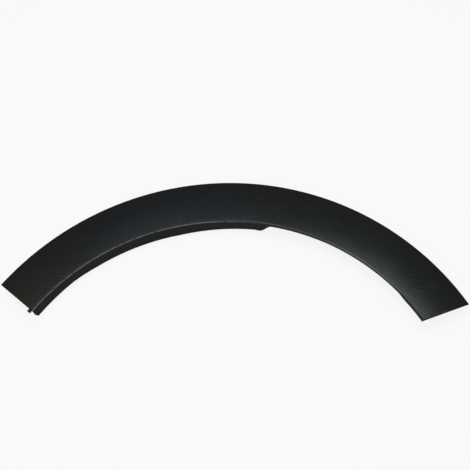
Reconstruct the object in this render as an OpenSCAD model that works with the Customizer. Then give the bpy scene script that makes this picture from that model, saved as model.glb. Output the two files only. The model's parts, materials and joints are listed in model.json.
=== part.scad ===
// Wheel arch trim: a moulded band that covers the edge of a wheel opening, lying face up.
// The face's arcs share one centre. Angles along the arc count from the top of the arch,
// with the left end negative and the right end positive. Depths count down from the crease,
// which is the rounded line where the face turns down into the flange.

/* [Arch] */
// Radius of the wheel opening, at the flange's visible side
opening_r = 345.5; // [300:0.5:400]
// Width of the face, from the flange's visible side to the outer edge
band_w = 73.5; // [66:0.5:90]
// Angle from the top to each outer corner
half_span = 57.5; // [55.5:0.5:64]
// Slope of the left end's cut, from the X axis
left_cut = 36; // [31:0.5:42]
// Slope of the right end's cut, from the X axis
right_cut = 24.5; // [21:0.5:34]

/* [Section] */
// Wall of the face
wall = 2.5; // [1.8:0.1:2.9]
// Fall of the crowned face, from the crease to the outer edge
crown_drop = 5.7; // [4:0.1:6.5]
// Radius of the crease between face and flange
crease_round = 2.6; // [2:0.1:2.9]
// Radius along the outer edge
edge_round = 1.5; // [1:0.1:2]
// Depth of the plane that lies against the car body
seat_d = 10; // [9.5:0.1:13]
// Wall of the outer lip, at its foot
lip_wall = 1.8; // [1.2:0.1:2.4]
// Wall of the two end walls
end_wall = 2; // [1.4:0.1:2.6]
// Depth of the two end walls at the crease, from where they rise to the outer lip's foot
end_d = 6.5; // [5:0.1:8]

/* [Flange] */
// Wall of the flange, at its free edge
flange_wall = 2; // [1.5:0.1:2.4]
// Depth of the flange at its left end
flange_left_d = 27.5; // [22:0.5:30]
// Depth of the flange at the corner near its left end
flange_dip_d = 25; // [20:0.5:28]
// Greatest depth of the flange
flange_max_d = 30.5; // [28.5:0.5:38]
// Depth of the flange where it stops, right of the top
flange_stop_d = 23; // [17:0.5:26]
// Extra depth of the small hook at that stop
hook_d = 1.2; // [0.4:0.1:2]
// Depth of the plain lip where it follows the flange
plain_lip_d = 5; // [3.2:0.1:6]
// Depth of the short flange at the right end
tail_d = 7; // [5.5:0.1:9]
// Angle between the left end and the corner near it
dip_inset = 12.5; // [8:0.5:16]
// Angle of the flange's deepest place
deep_angle = -14.5; // [-20:0.5:-8]
// Angle where the flange stops
stop_angle = 6.3; // [2:0.1:12]
// Angle from which the plain lip is hardly deeper than the face's wall
lip_thin_angle = 25; // [14:0.5:35]
// Angle between the right end and the place where the short flange has its full depth
tail_inset = 8.3; // [6.5:0.1:12]

/* [Ribs] */
// Wall of the gussets and cross ribs
rib_wall = 1.4; // [1:0.1:2]
// Number of gussets behind the flange
gusset_n = 9; // [4:1:14]
// Length of a gusset across the face
gusset_w = 13; // [8:0.5:18]
// Depth of a gusset
gusset_d = 15; // [11:0.5:16.5]
// Depth of the cross ribs at their inner ends, under the face's outer surface
rib_d = 6; // [5:0.1:7]
// Distance of the cross ribs from the opening
rib_inset = 8; // [5:0.5:12]

/* [Clip houses] */
// Angle of the first clip house on each side of the top
house_first = 10; // [8:0.5:12]
// Angle between the last clip house and the end on its side
house_margin = 6.5; // [6:0.5:9]
// Number of clip houses on each side of the top
house_n = 3; // [2:1:3]
// Distance of the clip houses from the opening
clip_inset = 33; // [26:0.5:42]
// Wall of a clip house
house_wall = 1.8; // [1.3:0.1:2.4]
// Thickness of the plate with the slot
slot_plate = 1.8; // [1.4:0.1:2.1]
// Length of the slot's entry beyond the clip's head
slot_entry = 3; // [2:0.5:5]

/* [Clips] */
// Diameter of a clip's neck
neck_d = 6; // [5:0.1:7]
// Diameter of a clip's head
head_d = 14; // [12:0.5:16]
// Width of the head across its two flats
head_w = 11; // [9:0.5:11.5]
// Thickness of a clip's head
head_t = 1.5; // [1:0.1:1.8]
// Diameter of a clip's collar, which seals on the car body
collar_d = 16; // [12:0.5:18]
// Thickness of that collar
collar_t = 1.4; // [1:0.1:1.7]
// Diameter of the shank under the collar, which fills the hole in the car body
shank_d = 7.2; // [6.4:0.1:7.8]
// Length of that shank
shank_l = 2.4; // [1.6:0.1:4]
// Diameter of a clip's stem, between its barbs
stem_d = 4.6; // [3.6:0.1:5.5]
// Diameter of the barbs on the stem
barb_d = 8.4; // [7:0.1:9.5]
// Number of barbs
barb_n = 4; // [3:1:5]
// Length of a clip below its collar
reach = 20.5; // [16:0.5:26]

/* [Locating pins] */
// Diameter of a locating pin
pin_d = 6; // [5:0.1:7.5]
// Diameter of the boss above the pin, which stops at the car body
boss_d = 10; // [9:0.1:12]
// Length of a locating pin below that boss
pin_reach = 8; // [5:0.5:12]

/* [Tongue] */
// Length of the tongue beyond the left end
tongue_l = 5; // [3:0.5:8]
// Width of the tongue
tongue_w = 5.5; // [4:0.5:8]
// Thickness of the tongue
tongue_t = 2.2; // [1.6:0.1:3]
// Depth of the tongue's upper side
tongue_d = 2; // [1.8:0.1:2.2]

/* [Hidden] */
black = "#232425";
nylon = "#dcdad2";

$fn = 64;
arc_fn = 360;
// Steps of the drawn arcs: the crown, its hidden middle, the crease and edge, the round inside
// the crease, and the flange's step
crown_steps = 12;
middle_steps = 4;
round_steps = 6;
inside_steps = 3;
notch_steps = 8;
// Least radius inside the crease
least_round = 0.4;
// Play between a clip and its house, and the amount by which the slot grips the neck
clip_play = 0.2;
slot_grip = 0.4;
// Room that the ribs keep from the car body
seat_gap = 0.6;
// Angle by which a section is revolved past each end, before the ends are cut
past_ends = 6;
// Angle over which the flange steps down to the plain lip, and the one that its hook takes
notch_span = 3.4;
hook_span = 1.4;
// Angle over which the short flange rises on its steep side
tail_span = 2.7;
// Distances of the gussets and cross ribs from ends and clips, as angles
gusset_margin = 4;
rib_offset = 5.1;
// A gusset this near to a cross rib, as an angle, stands in line with it.
in_line_within = 1.2;
// Shares of the way and of the fall, from the corner near the left end to the deepest place, at
// which the flange's edge bends
bend_run = 0.25;
bend_fall = 0.6;
// Amount by which the flange's left end leans back at its free edge, and the level stretch there
flange_rake = 2;
left_level = 5;
// Amount by which the plain lip shows below the face's wall and crease, at its right end
lip_reveal = 0.2;
// Distance of the tongue from the crease, and the length by which it reaches under the face
tongue_inset = 1.5;
tongue_root = 4;
// Chamfers on pins, collars and tips
chamfer = 0.6;
tip_d = 2;
// Room that cuts reach past the solids they cut
past = 2;

outer_r = opening_r + band_w;
clip_r = opening_r + clip_inset;
dip_angle = dip_inset - half_span;
tail_angle = half_span - tail_inset;
// The clip houses are evenly spaced, and a locating pin sits midway between the first two.
house_step = (half_span - house_margin - house_first) / (house_n - 1);
house_angles = [for (i = [0:house_n - 1]) house_first + i * house_step];
pin_angle = house_first + house_step / 2;
rib_angles = concat(house_angles - [for (a = house_angles) rib_offset],
    [for (a = house_angles) if (a < half_span - house_margin) a + rib_offset]);
// The floor is at zero: the deepest flange edge and the tips of the clips stand on it.
crease_z = max(flange_max_d, seat_d + reach);
seat_z = crease_z - seat_d;
plate_z = seat_z + collar_t;
cavity_z = plate_z + slot_plate;

// The crown is one arc, level where the crease ends, with its centre below the face.
crown_x = opening_r + crease_round;
crown_w = band_w - crease_round;
crown_r = (pow(crown_w, 2) + pow(crown_drop, 2)) / (2 * crown_drop);
crown_cz = crease_z - crown_r;

function on_circle(r, a) = [r * sin(a), r * cos(a)];
// Height of the face at radius r, at a depth of inset square to its outer surface
function face_z(r, inset = 0) = crown_cz + sqrt(pow(crown_r - inset, 2) - pow(r - crown_x, 2));
function arc_points(c, r, a0, a1, n) = [
    for (i = [0:n]) let (a = a0 + (a1 - a0) * i / n) [c[0] + r * cos(a), c[1] + r * sin(a)]
];
function face_points(r0, r1, inset, n) = [
    for (i = [0:n]) let (r = r0 + (r1 - r0) * i / n) [r, face_z(r, inset)]
];
function reversed(v) = [for (i = [len(v) - 1:-1:0]) v[i]];
function mix(a, b, t) = a + (b - a) * t;

// Each end cut passes through its outer corner. Its direction runs towards the opening.
left_corner = on_circle(outer_r, -half_span);
right_corner = on_circle(outer_r, half_span);
left_along = [cos(left_cut), -sin(left_cut)];
right_along = [-cos(right_cut), -sin(right_cut)];
// Length along a cut from its outer corner to the opening
function cut_length(corner, along) =
    let (b = corner * along, c = corner * corner - pow(opening_r, 2)) -b - sqrt(b * b - c);
left_cut_l = cut_length(left_corner, left_along);
left_inner = left_corner + left_along * left_cut_l;
right_inner = right_corner + right_along * cut_length(right_corner, right_along);

// The arch's centre lies below the origin, so that the origin is in the middle of the outline.
tongue_end = left_cut_l - tongue_inset;
tongue_outline = [
    [tongue_end - tongue_w, tongue_root],
    [tongue_end - tongue_w, chamfer - tongue_l], [tongue_end - tongue_w + chamfer, -tongue_l],
    [tongue_end - chamfer, -tongue_l], [tongue_end, chamfer - tongue_l],
    [tongue_end, tongue_root]
];
tongue_ys = [for (p = tongue_outline) left_corner[1] - p[0] * sin(left_cut) + p[1] * cos(left_cut)];
low_y = min(concat(tongue_ys, [left_inner[1], right_inner[1]]));
arch_y = -(outer_r + low_y) / 2;

// Section of the skin, as radius and height. It runs up the flange, over the face to the lip's
// foot, and back along the inside.
inner_crease = max(crease_round - wall, least_round);
inner_lip_r = outer_r - max(wall, lip_wall);
edge_c = [outer_r - edge_round, face_z(outer_r - edge_round, edge_round)];
edge_tilt = asin((edge_c[0] - crown_x) / (crown_r - edge_round));
edge_start = crown_x + crown_r * sin(edge_tilt);
skin_outside = concat(
    [[opening_r, 0]],
    arc_points([crown_x, crease_z - crease_round], crease_round, 180, 90, round_steps),
    [for (p = face_points(crown_x, edge_start, 0, crown_steps)) if (p[0] > crown_x) p],
    [for (p = arc_points(edge_c, edge_round, 90 - edge_tilt, 0, round_steps)) if (p[0] > edge_start) p],
    [[outer_r, seat_z]]
);
skin_inside = concat(
    [[opening_r + flange_wall, 0]],
    arc_points([opening_r + wall + inner_crease, crease_z - wall - inner_crease], inner_crease,
        180, 90, inside_steps),
    [for (p = face_points(crown_x, inner_lip_r - edge_round, wall, crown_steps))
        if (p[0] > opening_r + wall + inner_crease) p],
    [[inner_lip_r, face_z(inner_lip_r, wall) - edge_round / 2], [outer_r - lip_wall, seat_z]]
);

thin_lip_d = max(wall, crease_round) + lip_reveal;
// Lower edge of the flange and lip, as angle and depth, from left to right
flange_line = concat(
    [
        [asin((left_inner[0] + flange_rake + left_level) / opening_r), flange_left_d],
        [dip_angle, flange_dip_d],
        [mix(dip_angle, deep_angle, bend_run), mix(flange_dip_d, flange_max_d, bend_fall)],
        [deep_angle, flange_max_d],
        [stop_angle - hook_span, flange_stop_d],
        [stop_angle - hook_span / 4, flange_stop_d + hook_d]
    ],
    [for (i = [0:notch_steps]) let (t = i / notch_steps)
        [stop_angle + notch_span * t, mix(plain_lip_d, flange_stop_d + hook_d, (1 + cos(180 * t)) / 2)]],
    [
        [lip_thin_angle, thin_lip_d],
        [tail_angle - tail_span, thin_lip_d],
        [tail_angle, tail_d],
        [half_span, tail_d]
    ]
);

// Places what it is given on the arc, at an angle from the top and a radius
module at_arc(a, r = 0) rotate([0, 0, -a]) translate([0, r, 0]) children();
module both_sides() {
    children();
    mirror([1, 0, 0]) children();
}

// Places what it is given at an outer corner: X runs along the cut, Y into the trim
module at_left_end() translate([left_corner[0], left_corner[1], 0]) rotate([0, 0, -left_cut])
    children();
module at_right_end() translate([right_corner[0], right_corner[1], 0]) mirror([1, 0, 0])
    rotate([0, 0, -right_cut]) children();

// Revolves a section over the arc, past both ends
module sweep_arc() {
    span = half_span + past_ends;
    rotate([0, 0, 90 - span]) rotate_extrude(angle = 2 * span, $fn = arc_fn) children();
}

module skin_section() polygon(concat(skin_outside, reversed(skin_inside)));

// The space from the middle of the face's wall down to two given heights, from one radius on
module under_face(r0, z0, z1) polygon(concat(
    [[r0, z0]],
    face_points(max(r0, crown_x), outer_r - lip_wall / 2 - edge_round, wall / 2, middle_steps),
    [[outer_r - lip_wall / 2, face_z(outer_r, wall)], [outer_r - lip_wall / 2, z1]]
));

// Takes off what lies beyond the two end cuts
module trim_to_length() {
    big = 2 * outer_r;
    difference() {
        children();
        at_left_end() translate([-big / 2, -big, -big / 2]) cube(big);
        at_right_end() translate([-big / 2, -big, -big / 2]) cube(big);
    }
}

// The part of a full flange that isn't there, seen from the front and cut from the ring
module flange_waste() {
    left = left_inner[0] - past;
    right = right_corner[0];
    outline = [for (p = flange_line) [opening_r * sin(p[0]), crease_z - p[1]]];
    intersection() {
        rotate([90, 0, 0]) translate([0, 0, -outer_r]) linear_extrude(outer_r) polygon(concat(
            [[left, -past], [left, crease_z - end_d], [left_inner[0] + flange_rake, outline[0][1]]],
            outline,
            [[right, crease_z - tail_d], [right, -past]]
        ));
        difference() {
            translate([0, 0, -past]) cylinder(r = opening_r + wall + past, h = crease_z, $fn = arc_fn);
            translate([0, 0, -2 * past]) cylinder(r = opening_r - past, h = crease_z + past,
                $fn = arc_fn);
        }
    }
}

module skin() difference() {
    sweep_arc() skin_section();
    flange_waste();
}

// Walls that close the face's section at both ends, down to a shallow depth
module end_walls() {
    length = 2 * band_w;
    r0 = opening_r + wall / 2;
    intersection() {
        sweep_arc() under_face(r0, crease_z - end_d, seat_z + seat_gap);
        union() {
            at_left_end() translate([-band_w / 2, 0, 0]) cube([length, end_wall, crease_z]);
            at_right_end() translate([-band_w / 2, 0, 0]) cube([length, end_wall, crease_z]);
        }
    }
}

// Angle of a gusset: the one given, or that of a cross rib on the left that is near to it
function gusset_angle(a) =
    let (near = [for (b = rib_angles) if (abs(a + b) < in_line_within) -b]) len(near) > 0 ? near[0] : a;

// Webs in the angle between flange and face
module gussets() {
    first = -half_span + gusset_margin;
    last = stop_angle - gusset_margin;
    low = crease_z - gusset_d;
    tip_r = opening_r + gusset_w;
    for (i = [0:gusset_n - 1])
        at_arc(gusset_angle(mix(first, last, i / (gusset_n - 1)))) rotate([90, 0, 90])
            linear_extrude(rib_wall, center = true) polygon([
                [opening_r + flange_wall / 2, low], [opening_r + flange_wall / 2, crease_z - crease_round],
                [crown_x, crease_z - wall / 2], [tip_r, face_z(tip_r, wall / 2)],
                [tip_r, face_z(tip_r, wall) - chamfer], [opening_r + wall + past, low]
            ]);
}

// Shallow ribs across the face, beside each clip house
module cross_ribs() intersection() {
    sweep_arc() under_face(opening_r + rib_inset, crease_z - rib_d, seat_z + seat_gap);
    both_sides() for (a = rib_angles) at_arc(a, opening_r)
        translate([-rib_wall / 2, 0, 0]) cube([rib_wall, band_w, crease_z]);
}

// A low house under the face that is open at one end. Its plate has a slot for a clip's neck.
cavity_w = head_w + 2 * clip_play;
cavity_l = head_d / 2 + clip_play;
house_front = head_d / 2 + slot_entry;
house_w = cavity_w + 2 * house_wall;
module clip_house() difference() {
    translate([-cavity_l - house_wall, -house_w / 2, plate_z])
        cube([cavity_l + house_wall + house_front, house_w, crease_z - plate_z]);
    translate([-cavity_l, -cavity_w / 2, cavity_z])
        cube([cavity_l + house_front + past, cavity_w, crease_z]);
    translate([0, 0, plate_z - past]) cylinder(d = neck_d + 2 * clip_play, h = 2 * past + slot_plate);
    translate([0, -(neck_d - slot_grip) / 2, plate_z - past])
        cube([house_front + past, neck_d - slot_grip, 2 * past + slot_plate]);
}

module clip_houses() intersection() {
    sweep_arc() under_face(opening_r + rib_inset, seat_z, seat_z);
    both_sides() for (a = house_angles) at_arc(a, clip_r) clip_house();
}

// A boss under the face with a chamfered pin, which finds a hole in the car body
module locating_pin() {
    top = face_z(clip_r + boss_d / 2, wall / 2);
    translate([0, 0, seat_z]) cylinder(d = boss_d, h = top - seat_z);
    translate([0, 0, seat_z - pin_reach + chamfer]) cylinder(d = pin_d, h = pin_reach);
    translate([0, 0, seat_z - pin_reach])
        cylinder(d1 = pin_d - 2 * chamfer, d2 = pin_d, h = chamfer);
}

// A flat finger beyond the left end, which hooks behind the neighbouring moulding
module tongue() at_left_end() translate([0, 0, crease_z - tongue_d - tongue_t])
    linear_extrude(tongue_t) polygon(tongue_outline);

module trim_moulding() color(black) translate([0, arch_y, 0]) {
    trim_to_length() {
        skin();
        end_walls();
        gussets();
        cross_ribs();
    }
    clip_houses();
    both_sides() at_arc(pin_angle, clip_r) locating_pin();
    tongue();
}

// A barb's points: diameter, and height as a share of the barbs' pitch. It slopes out from the
// stem, has a narrow edge and turns back steeply.
barb = [[stem_d, 0.15], [barb_d, 0.7], [barb_d, 0.8], [stem_d, 0.88]];
barb_pitch = (reach - shank_l) / barb_n;
// Points of a clip below its head, as radius and height: a tip, barbs, a shank, a collar, a neck
clip_profile = concat(
    [[0, seat_z - reach], [tip_d / 2, seat_z - reach]],
    [for (i = [0:barb_n - 1], p = barb) [p[0] / 2, seat_z - reach + (i + p[1]) * barb_pitch]],
    [
        [stem_d / 2, seat_z - shank_l],
        [shank_d / 2, seat_z - shank_l],
        [shank_d / 2, seat_z],
        [collar_d / 2 - chamfer, seat_z],
        [collar_d / 2, seat_z + chamfer],
        [collar_d / 2, plate_z],
        [neck_d / 2, plate_z],
        [neck_d / 2, cavity_z + clip_play + head_t / 2],
        [0, cavity_z + clip_play + head_t / 2]
    ]
);

module retaining_clip() {
    rotate_extrude() polygon(clip_profile);
    translate([0, 0, cavity_z + clip_play]) intersection() {
        cylinder(d = head_d, h = head_t);
        translate([-head_d / 2, -head_w / 2, 0]) cube([head_d, head_w, head_t]);
    }
}

module retaining_clips() color(nylon) translate([0, arch_y, 0]) both_sides()
    for (a = house_angles) at_arc(a, clip_r) retaining_clip();

trim_moulding();
retaining_clips();
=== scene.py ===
"""A wheel arch trim of grained black plastic, lying face up on a pale floor.

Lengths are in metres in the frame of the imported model: X along the trim, Y to the top of the
arch, Z out of the visible face. The arch's centre lies on the Y axis, below the origin. Angles
along the arch count from its top, with the right half positive.
"""
import json
import math

import bpy
from mathutils import Euler, Matrix, Vector


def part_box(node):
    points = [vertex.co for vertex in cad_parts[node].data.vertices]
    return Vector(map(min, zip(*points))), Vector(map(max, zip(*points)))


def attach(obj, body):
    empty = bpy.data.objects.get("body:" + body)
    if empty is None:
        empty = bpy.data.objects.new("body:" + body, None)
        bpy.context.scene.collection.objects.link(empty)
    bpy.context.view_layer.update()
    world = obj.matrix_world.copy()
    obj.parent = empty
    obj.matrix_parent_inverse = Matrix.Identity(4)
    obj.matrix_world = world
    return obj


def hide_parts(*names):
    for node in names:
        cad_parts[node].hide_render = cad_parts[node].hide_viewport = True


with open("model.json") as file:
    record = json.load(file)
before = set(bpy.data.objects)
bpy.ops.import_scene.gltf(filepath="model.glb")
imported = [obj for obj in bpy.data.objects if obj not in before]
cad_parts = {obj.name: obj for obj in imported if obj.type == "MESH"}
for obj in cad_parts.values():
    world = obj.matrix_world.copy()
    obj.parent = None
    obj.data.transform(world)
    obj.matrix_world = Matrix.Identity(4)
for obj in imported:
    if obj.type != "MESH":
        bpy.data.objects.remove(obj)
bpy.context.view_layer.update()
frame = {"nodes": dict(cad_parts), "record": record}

MM = 0.001
# A point this near to a surface lies on it, and points this near to each other are merged
NEAR = 0.04 * MM
MERGE = 0.002 * MM
BAND = "trim_moulding"
CLIPS = "retaining_clips"

# The trim's own sizes
band_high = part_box(BAND)[1]
OUTER_R = 419 * MM
OPENING_R = 345.5 * MM
ARCH_Y = band_high.y - OUTER_R
CREASE_Z = band_high.z
FLOOR_Z = 0.0
WALL = 2.5 * MM
CREASE_ROUND = 2.6 * MM
EDGE_ROUND = 1.5 * MM
CROWN_DROP = 5.7 * MM
BOSS_D, PIN_D = 10 * MM, 6 * MM

# The band's curved surfaces. The crown is one arc, level where the crease ends.
CROWN_START = OPENING_R + CREASE_ROUND
CROWN_R = ((OUTER_R - CROWN_START) ** 2 + CROWN_DROP ** 2) / (2 * CROWN_DROP)
CROWN_Z = CREASE_Z - CROWN_R
EDGE_R = OUTER_R - EDGE_ROUND
EDGE_Z = CROWN_Z + math.sqrt((CROWN_R - EDGE_ROUND) ** 2 - (EDGE_R - CROWN_START) ** 2)
# Arcs of the section: radius and height of the arc's centre, its own radius, its side (-1 is the
# hollow one), and the radii from and to which it runs
SECTION_ARCS = {
    "crown": (CROWN_START, CROWN_Z, CROWN_R, 1, CROWN_START, OUTER_R - 0.6 * EDGE_ROUND),
    "crown_back": (CROWN_START, CROWN_Z, CROWN_R - WALL, -1, CROWN_START, OUTER_R),
    "crease": (CROWN_START, CREASE_Z - CREASE_ROUND, CREASE_ROUND, 1, OPENING_R, CROWN_START),
    "edge": (EDGE_R, EDGE_Z, EDGE_ROUND, 1, EDGE_R, OUTER_R),
}
# Upright walls that follow the arch: radius, and side (1 faces away from the arch's centre)
ARCH_WALLS = {"flange": (OPENING_R, -1), "lip": (OUTER_R, 1)}
# Upright round posts: centre and radius
PINS = [m for m in frame["record"]["mounts"] if m["kind"] == "pin"]
POSTS = {(pin["name"], d): (pin["pos_m"], d / 2) for pin in PINS for d in (BOSS_D, PIN_D)}

# The clips' places and sizes: heights count from the plane of the car body
clip_mounts = [m for m in frame["record"]["mounts"] if m["name"].startswith("clip_")]
SEAT_Z = clip_mounts[0]["pos_m"][2]
HEAD_D, HEAD_W, HEAD_T = 14 * MM, 11 * MM, 1.5 * MM
HEAD_Z = 3.4 * MM
COLLAR_D, COLLAR_T = 16 * MM, 1.4 * MM
NECK_D = 6 * MM
SHANK_D, SHANK_L = 7.2 * MM, 2.4 * MM
STEM_D = 4.6 * MM
BARB_D, BARB_N = 8.4 * MM, 4
CLIP_STEPS = 40
REACH = SEAT_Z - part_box(CLIPS)[0].z

# The camera stands where the photograph was taken from, worked out from the outline's perspective.
# Its place counts from the arch's centre, at the crease's height.
CAMERA_PLACE = Vector((153.5, -312.6, 1226.1)) * MM + Vector((0, ARCH_Y, CREASE_Z))
CAMERA_TURN = [math.radians(a) for a in (27.65, 4.63, 4.60)]
CAMERA_LENS = 68.94

# Softboxes: azimuth and height in degrees, side of the square in metres, watts, colour
SOFTBOX_DISTANCE = 2.4
SOFTBOXES = {
    "softbox_top": (60, 84, 0.5, 10, (1.0, 1.0, 1.0)),
    "softbox_top_left": (150, 77, 0.5, 8.5, (1.0, 1.0, 1.0)),
    "softbox_right": (70, 72, 0.5, 4.0, (0.80, 1.0, 1.0)),
    "softbox_back": (116, 57, 0.5, 0.42, (0.50, 0.75, 1.0)),
    "softbox_left": (150, 50, 0.5, 0.25, (1.0, 0.75, 0.20)),
    "softbox_front": (270, 42, 1.2, 8, (1.0, 1.0, 1.0)),
}
ROOM_LIGHT = 0.18
ROOM_COLOUR = (0.93, 0.97, 1.0)
# The background behind the floor, as pale as the floor's far edge
HORIZON = (0.89, 0.89, 0.89)

FLOOR_SIZE = 12
# The floor's colour to the camera, and in what mirrors it or lets it through
FLOOR_SEEN, FLOOR_MIRRORED = (0.99, 0.99, 0.99), (0.42, 0.42, 0.42)
# The share of it that glows, in the same order. The rest takes the trim's shadow.
GLOW_SEEN, GLOW_MIRRORED = 0.87, 0.12

# Colours of the moulded black: plain and clouded, under the trim, where it is marked, and on the
# crease
BLACK, BLACK_CLOUDED = (0.0046, 0.0056, 0.0066), (0.0064, 0.0074, 0.0082)
BLACK_BELOW = (0.0085, 0.0088, 0.0090)
BLACK_SCRATCHED, BLACK_SCUFFED = (0.020, 0.022, 0.024), (0.018, 0.020, 0.022)
# The pale crease colour is mostly a painted highlight on the crease's rounding, with some real wear
BLACK_WORN_AND_HIGHLIGHT = (0.25, 0.24, 0.225)
DUST = (0.10, 0.10, 0.095)
NYLON, NYLON_CLOUDED = (0.58, 0.55, 0.46), (0.68, 0.65, 0.57)

# Scuffs on the face: radius, angle in degrees, half length, half width, strength
SCUFFS = [
    (382.6 * MM, 25.3, 16 * MM, 1.6 * MM, 0.35),
    (407.0 * MM, 15.9, 4 * MM, 1.6 * MM, 0.7),
    (404.1 * MM, 10.4, 3 * MM, 2.2 * MM, 0.4),
    (355.5 * MM, -14.0, 4 * MM, 2.4 * MM, 0.6),
    (373.4 * MM, -32.6, 9 * MM, 5 * MM, 0.22),
    (397.0 * MM, -2.2, 40 * MM, 0.9 * MM, 0.35),
    (381.0 * MM, -1.7, 34 * MM, 0.8 * MM, 0.30),
]


def deselect():
    bpy.ops.object.select_all(action="DESELECT")


def add_camera():
    data = bpy.data.cameras.new("camera")
    data.lens = CAMERA_LENS
    data.sensor_width = 36
    camera = bpy.data.objects.new("camera", data)
    camera.location = CAMERA_PLACE
    camera.rotation_euler = CAMERA_TURN
    bpy.context.collection.objects.link(camera)
    bpy.context.scene.camera = camera


class Socket:
    """A value in a material. Arithmetic on it adds Math nodes."""

    def __init__(self, finish, link):
        self.finish = finish
        self.link = link

    def math(self, operation, *others):
        values = dict(enumerate((self, *others)))
        return self.finish.node("ShaderNodeMath", values, {"operation": operation})

    def __add__(self, other):
        return self.math("ADD", other)

    def __sub__(self, other):
        return self.math("SUBTRACT", other)

    def __mul__(self, other):
        return self.math("MULTIPLY", other)

    def __truediv__(self, other):
        return self.math("DIVIDE", other)

    def __rsub__(self, other):
        return self.finish.node("ShaderNodeMath", {0: other, 1: self}, {"operation": "SUBTRACT"})

    __radd__ = __add__
    __rmul__ = __mul__


class Finish:
    """A material and the nodes that make its surface."""

    def __init__(self, name):
        self.material = bpy.data.materials.new(name)
        self.material.use_nodes = True
        self.tree = self.material.node_tree
        self.shader = self.tree.nodes["Principled BSDF"]
        self.output = self.tree.nodes["Material Output"]

    def node(self, kind, values, settings=None, out=0):
        """Adds a node. Values or links go to its sockets, by name or number, after its settings."""
        made = self.tree.nodes.new(kind)
        for name, setting in (settings or {}).items():
            setattr(made, name, setting)
        for socket, value in values.items():
            self.put(made.inputs[socket], value)
        return Socket(self, made.outputs[out])

    def put(self, socket, value):
        """Sets a socket to a link, a number, a vector or a colour of three values."""
        if isinstance(value, Socket):
            self.tree.links.new(value.link, socket)
        else:
            socket.default_value = (*value, 1) if socket.type == "RGBA" else value

    def surface(self, **inputs):
        for key, value in inputs.items():
            self.put(self.shader.inputs[key.replace("_", " ")], value)

    def on_piece(self):
        return self.node("ShaderNodeTexCoord", {}, out="Object")

    def facing(self):
        """How far the surface faces up, from -1 to 1."""
        normal = self.node("ShaderNodeTexCoord", {}, out="Normal")
        return self.node("ShaderNodeSeparateXYZ", {"Vector": normal}, out="Z")

    def noise(self, place, size, detail):
        """Smooth noise from 0 to 1, with lumps of a given size."""
        values = {"Vector": place, "Scale": 1 / size, "Detail": detail, "Roughness": 0.55}
        return self.node("ShaderNodeTexNoise", values)

    def step(self, value, low, high):
        """0 where the value is at low, 1 where it is at high, with a smooth change between them."""
        values = {"Value": value, "From Min": low, "From Max": high}
        return self.node("ShaderNodeMapRange", values, {"interpolation_type": "SMOOTHSTEP"})

    def blend(self, mask, a, b):
        """Colour a where the mask is 0, colour b where it is 1."""
        return self.node("ShaderNodeMix", {0: mask, 6: a, 7: b}, {"data_type": "RGBA"}, out=2)

    def bump(self, height, depth, strength):
        """A normal that follows a height from 0 to 1 over a depth in metres."""
        values = {"Strength": strength, "Distance": depth, "Height": height}
        return self.node("ShaderNodeBump", values)

    def hairlines(self, place, turn, cover):
        """Thin broken scratches that run at an angle in degrees across the face."""
        stretch = {"Vector": place, "Rotation": (0, 0, math.radians(turn)), "Scale": (1, 45, 1)}
        lines = self.noise(self.node("ShaderNodeMapping", stretch), 55 * MM, 1)
        breaks = self.noise(place, 30 * MM, 1)
        return self.step(lines, cover, cover + 0.08) * self.step(breaks, 0.48, 0.66)

    def streak(self, radius, along, middle_r, middle_a, length, width, strength):
        """A soft mark on the face, at a radius and an angle, with its length along the arc."""
        across = (radius - middle_r) / width
        run = (along - math.radians(middle_a)) * (middle_r / length)
        far = (across * across + run * run).math("SQRT")
        return self.step(far, 1, 0.2) * strength

    def dust(self, place):
        """Sparse pale specks of different sizes."""
        distance = self.node("ShaderNodeTexVoronoi", {"Vector": place, "Scale": 1 / (13 * MM)})
        chance = self.noise(place, 17 * MM, 1)
        return self.step(distance, 0.050, 0.030) * self.step(chance, 0.52, 0.60)


def floor_finish():
    """White and matt to the camera, with the trim's soft shadow, and greyer in what mirrors it."""
    finish = Finish("floor_white")
    rays = ("Is Camera Ray", "Is Glossy Ray", "Is Transmission Ray")
    camera, glossy, through = (finish.node("ShaderNodeLightPath", {}, out=ray) for ray in rays)
    finish.surface(Base_Color=finish.blend(camera, FLOOR_MIRRORED, FLOOR_SEEN), Roughness=0.9)
    glow = finish.node("ShaderNodeEmission", {"Color": (1, 1, 1), "Strength": 1})
    share = (camera * GLOW_SEEN).math("MAXIMUM", (glossy + through) * GLOW_MIRRORED)
    plain = Socket(finish, finish.shader.outputs[0])
    mixed = finish.node("ShaderNodeMixShader", {0: share, 1: plain, 2: glow})
    finish.put(finish.output.inputs["Surface"], mixed)
    return finish.material


def add_floor():
    deselect()
    bpy.ops.mesh.primitive_plane_add(size=FLOOR_SIZE, location=(0, 0, FLOOR_Z))
    floor = bpy.context.object
    floor.name = "floor"
    floor.data.materials.append(floor_finish())


def add_softbox(name, azimuth, height, side, power, colour):
    turn = Euler((0, -math.radians(height), math.radians(azimuth)))
    data = bpy.data.lights.new(name, "AREA")
    data.size = side
    data.energy = power
    data.color = colour
    light = bpy.data.objects.new(name, data)
    light.location = turn.to_matrix() @ Vector((SOFTBOX_DISTANCE, 0, 0))
    light.rotation_euler = (-light.location).to_track_quat("-Z", "Y").to_euler()
    bpy.context.collection.objects.link(light)


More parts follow.
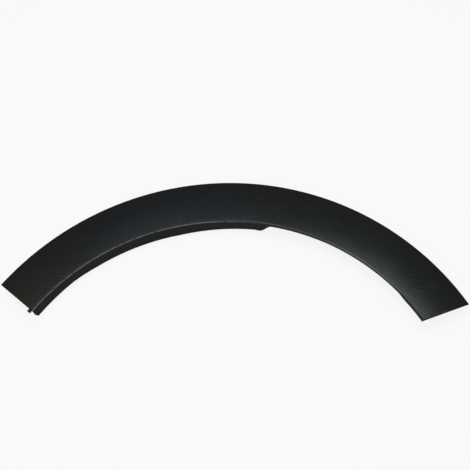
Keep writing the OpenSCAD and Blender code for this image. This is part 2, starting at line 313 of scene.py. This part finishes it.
def add_room():
    """Dim light from all around, with a pale background where the camera sees past the floor."""
    world = bpy.data.worlds.new("studio")
    world.use_nodes = True
    tree = world.node_tree
    room, seen = tree.nodes["Background"], tree.nodes.new("ShaderNodeBackground")
    room.inputs["Color"].default_value = (*ROOM_COLOUR, 1)
    room.inputs["Strength"].default_value = ROOM_LIGHT
    seen.inputs["Color"].default_value = (*HORIZON, 1)
    rays, mixed = tree.nodes.new("ShaderNodeLightPath"), tree.nodes.new("ShaderNodeMixShader")
    tree.links.new(rays.outputs["Is Camera Ray"], mixed.inputs[0])
    tree.links.new(room.outputs[0], mixed.inputs[1])
    tree.links.new(seen.outputs[0], mixed.inputs[2])
    tree.links.new(mixed.outputs[0], tree.nodes["World Output"].inputs["Surface"])
    bpy.context.scene.world = world


def add_softboxes():
    for name, values in SOFTBOXES.items():
        add_softbox(name, *values)


def moulded_black():
    """Grained black plastic: cloudy gloss, faint scratches and scuffs, a worn crease with a painted
    highlight.
    """
    finish = Finish("moulded_black")
    place = finish.on_piece()
    centred = finish.node("ShaderNodeMapping", {"Vector": place, "Location": (0, -ARCH_Y, 0)})
    x, y, z = (
        finish.node("ShaderNodeSeparateXYZ", {"Vector": centred}, out=axis) for axis in "XYZ")
    radius = (x * x + y * y).math("SQRT")
    along = x.math("ARCTAN2", y)
    up = finish.facing()
    face_up = finish.step(up, 0.25, 0.6)
    face_down = finish.step(up, -0.1, -0.4)
    side = (1 - face_up) * (1 - face_down)

    cloud = finish.noise(place, 70 * MM, 2)
    fleck = finish.noise(place, 6 * MM, 4)
    grain = finish.noise(place, 0.55 * MM, 2)

    # Painted highlight with some real rubbing: left half where the crease turns down, right half
    # above it
    crease = finish.step(radius, OPENING_R + 4.2 * MM, OPENING_R + 2.2 * MM)
    crease = crease * finish.step(z, CREASE_Z - 1.6 * MM, CREASE_Z - 0.5 * MM)
    turn = finish.step(radius, OPENING_R + 2.3 * MM, OPENING_R + 1.7 * MM)
    turn = turn * finish.step(z, CREASE_Z - 3.3 * MM, CREASE_Z - 2.5 * MM)
    turn = turn * finish.step(up, 0.9, 0.55)
    left = finish.step(along, 0.12, -0.15)
    right = finish.step(along, 0.35, 0.52) * finish.step(along, 0.85, 0.75)
    worn_and_highlight = turn * (0.1 + 0.9 * left) + 0.25 * crease * right
    worn_and_highlight = worn_and_highlight * finish.step(fleck, 0.22, 0.55)

    scratched = finish.hairlines(place, 12, 0.62) + finish.hairlines(place, -64, 0.66)
    scratched = scratched.math("MINIMUM", 1) * face_up
    scuffed = sum(finish.streak(radius, along, *scuff) for scuff in SCUFFS)
    scuffed = (scuffed * face_up).math("MINIMUM", 1)
    dusty = finish.dust(place) * face_up

    colour = finish.blend(cloud, BLACK, BLACK_CLOUDED)
    colour = finish.blend(face_down, colour, BLACK_BELOW)
    colour = finish.blend(scratched * 0.35, colour, BLACK_SCRATCHED)
    colour = finish.blend(scuffed, colour, BLACK_SCUFFED)
    # Painted highlight along the crease, with some real wear
    colour = finish.blend(worn_and_highlight, colour, BLACK_WORN_AND_HIGHLIGHT)
    colour = finish.blend(dusty * 0.5, colour, DUST)
    clean = 0.17 + 0.10 * cloud + 0.05 * fleck + 0.43 * side + 0.27 * face_down
    marks = 0.07 * scratched + 0.12 * scuffed + (0.16 + 0.29 * left) * crease + 0.3 * dusty
    relief = finish.bump(grain - 0.2 * scratched, 0.05 * MM, 0.7)
    finish.surface(Base_Color=colour, Roughness=clean + marks, Normal=relief)
    return finish.material


def clip_nylon():
    """Natural nylon: milky, slightly yellow, with a soft gloss."""
    finish = Finish("clip_nylon")
    place = finish.on_piece()
    cloud = finish.noise(place, 9 * MM, 3)
    fine = finish.noise(place, 0.8 * MM, 2)
    finish.surface(
        Base_Color=finish.blend(cloud, NYLON, NYLON_CLOUDED),
        Roughness=0.34 + 0.14 * cloud + 0.08 * fine,
        Normal=finish.bump(fine, 0.02 * MM, 0.5),
    )
    return finish.material


def merged_copy(node, name):
    """A merged copy of a CAD node in its place."""
    deselect()
    source = frame["nodes"][node]
    copy = bpy.data.objects.new(name, source.data.copy())
    bpy.context.collection.objects.link(copy)
    copy.select_set(True)
    bpy.context.view_layer.objects.active = copy
    bpy.ops.object.mode_set(mode="EDIT")
    bpy.ops.mesh.select_all(action="SELECT")
    bpy.ops.mesh.remove_doubles(threshold=MERGE)
    bpy.ops.mesh.dissolve_degenerate(threshold=MERGE)
    bpy.ops.object.mode_set(mode="OBJECT")
    copy.data.materials.clear()
    return copy


def curved_surfaces_at(point):
    """The band's curved surfaces that a point lies on, each with the way that it faces there."""
    spoke = Vector((point.x, point.y - ARCH_Y, 0))
    out = spoke.normalized()
    facings = {}
    for name, (radius, height, size, side, low_r, high_r) in SECTION_ARCS.items():
        arm = out * (spoke.length - radius) + Vector((0, 0, point.z - height))
        in_reach = low_r - NEAR < spoke.length < high_r + NEAR and arm.z > -NEAR
        if in_reach and abs(arm.length - size) < NEAR:
            facings[name] = arm.normalized() * side
    for name, (radius, side) in ARCH_WALLS.items():
        if abs(spoke.length - radius) < NEAR:
            facings[name] = out * side
    for name, (centre, radius) in POSTS.items():
        arm = Vector((point.x - centre[0], point.y - centre[1], 0))
        if abs(arm.length - radius) < NEAR:
            facings[name] = arm.normalized()
    return facings


def shade_true(band):
    """Shades each curved surface by its true form, and all other faces flat."""
    mesh = band.data
    bpy.ops.object.shade_smooth()
    facings = [curved_surfaces_at(vertex.co) for vertex in mesh.vertices]
    normals = []
    for face in mesh.polygons:
        corners = [facings[v] for v in face.vertices]
        shared = [
            name for name, facing in corners[0].items()
            if all(name in corner for corner in corners) and facing.dot(face.normal) > 0
        ]
        normals += [corner[shared[0]] if shared else face.normal for corner in corners]
    mesh.normals_split_custom_set(normals)


def make_band(finish):
    band = merged_copy(BAND, "moulded_band")
    shade_true(band)
    band.data.materials.append(finish)
    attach(band, "root")
    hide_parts(BAND)


def spun(name, points, steps):
    """A turned form: one vertex is extruded from point to point, and the line is spun round Z."""
    deselect()
    (r, z), *others = points
    bpy.ops.mesh.primitive_plane_add(size=MM, location=(r, 0, z))
    turned = bpy.context.object
    turned.name = name
    bpy.ops.object.transform_apply(location=True, rotation=False, scale=False)
    bpy.ops.object.mode_set(mode="EDIT")
    bpy.ops.mesh.select_all(action="SELECT")
    bpy.ops.mesh.merge(type="CENTER")
    for next_r, next_z in others:
        move = (next_r - r, 0, next_z - z)
        bpy.ops.mesh.extrude_region_move(TRANSFORM_OT_translate={"value": move})
        r, z = next_r, next_z
    bpy.ops.mesh.select_all(action="SELECT")
    bpy.ops.mesh.spin(steps=steps, angle=2 * math.pi, center=(0, 0, 0), axis=(0, 0, 1))
    bpy.ops.mesh.select_all(action="SELECT")
    bpy.ops.mesh.remove_doubles(threshold=MERGE)
    bpy.ops.mesh.normals_make_consistent(inside=False)
    bpy.ops.object.mode_set(mode="OBJECT")
    return turned


def clip_stem():
    """Neck, dished collar, shank and thin umbrella barbs, down to a round tip."""
    soft = 0.5 * MM
    dish = 1.6 * MM
    fin_t, fin_slope = 0.45 * MM, 0.8 * MM
    pitch = (REACH - SHANK_L) / BARB_N
    points = [
        (0, HEAD_Z), (NECK_D / 2, HEAD_Z), (NECK_D / 2, COLLAR_T),
        (COLLAR_D / 2 - soft, COLLAR_T), (COLLAR_D / 2, COLLAR_T - 0.7 * soft),
        (COLLAR_D / 2, 0.4 * soft), (COLLAR_D / 2 - soft, 0), (SHANK_D / 2 + dish, soft),
        (SHANK_D / 2, soft), (SHANK_D / 2, 0.6 * soft - SHANK_L), (SHANK_D / 2 - soft, -SHANK_L),
        (STEM_D / 2, -SHANK_L),
    ]
    for barb in reversed(range(BARB_N)):
        top = (barb + 0.8) * pitch - REACH
        points += [
            (STEM_D / 2, top - fin_slope), (BARB_D / 2 - 0.3 * soft, top),
            (BARB_D / 2, top - fin_t / 3), (BARB_D / 2 - 0.2 * soft, top - fin_t),
            (STEM_D / 2 + 0.4 * soft, top - fin_slope - fin_t),
            (STEM_D / 2, top - fin_slope - fin_t - 0.4 * soft),
        ]
    tip = [(STEM_D / 2, 2.2 * MM), (1.6 * MM, 0.9 * MM), (0.9 * MM, 0.2 * MM), (0, 0)]
    points += [(r, z - REACH) for r, z in tip]
    return spun("clip_stem", points, CLIP_STEPS)


def clip_head():
    """A round plate with two flats, which slides into the clip house."""
    deselect()
    bpy.ops.mesh.primitive_cylinder_add(
        vertices=64, radius=HEAD_D / 2, depth=HEAD_T, location=(0, 0, HEAD_Z + HEAD_T / 2))
    head = bpy.context.object
    bpy.ops.object.transform_apply(location=True, rotation=False, scale=False)
    bpy.ops.object.mode_set(mode="EDIT")
    for side in (1, -1):
        bpy.ops.mesh.select_all(action="SELECT")
        bpy.ops.mesh.bisect(
            plane_co=(0, side * HEAD_W / 2, 0), plane_no=(0, side, 0),
            use_fill=True, clear_outer=True)
    bpy.ops.mesh.select_all(action="DESELECT")
    bpy.ops.mesh.select_mode(type="EDGE")
    bpy.ops.mesh.edges_select_sharp(sharpness=math.radians(35))
    bpy.ops.mesh.bevel(offset=0.25 * MM, segments=2)
    bpy.ops.object.mode_set(mode="OBJECT")
    return head


def make_clips(finish):
    """One clip is modelled at the origin, and a copy with its own mesh goes to each mount."""
    stem, head = clip_stem(), clip_head()
    deselect()
    stem.select_set(True)
    head.select_set(True)
    bpy.context.view_layer.objects.active = stem
    bpy.ops.object.join()
    bpy.ops.object.shade_smooth_by_angle(angle=math.radians(32))
    stem.data.materials.append(finish)
    for mount in clip_mounts:
        place = Vector(mount["pos_m"])
        turn = -math.atan2(place.x, place.y - ARCH_Y)
        clip = bpy.data.objects.new(f"push_{mount['name']}", stem.data.copy())
        clip.data.transform(Matrix.Translation(place) @ Matrix.Rotation(turn, 4, "Z"))
        bpy.context.collection.objects.link(clip)
        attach(clip, "root")
        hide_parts(CLIPS)
    bpy.data.objects.remove(stem)


add_camera()
add_floor()
add_room()
add_softboxes()
make_band(moulded_black())
make_clips(clip_nylon())
bpy.context.scene.view_settings.view_transform = "Standard"
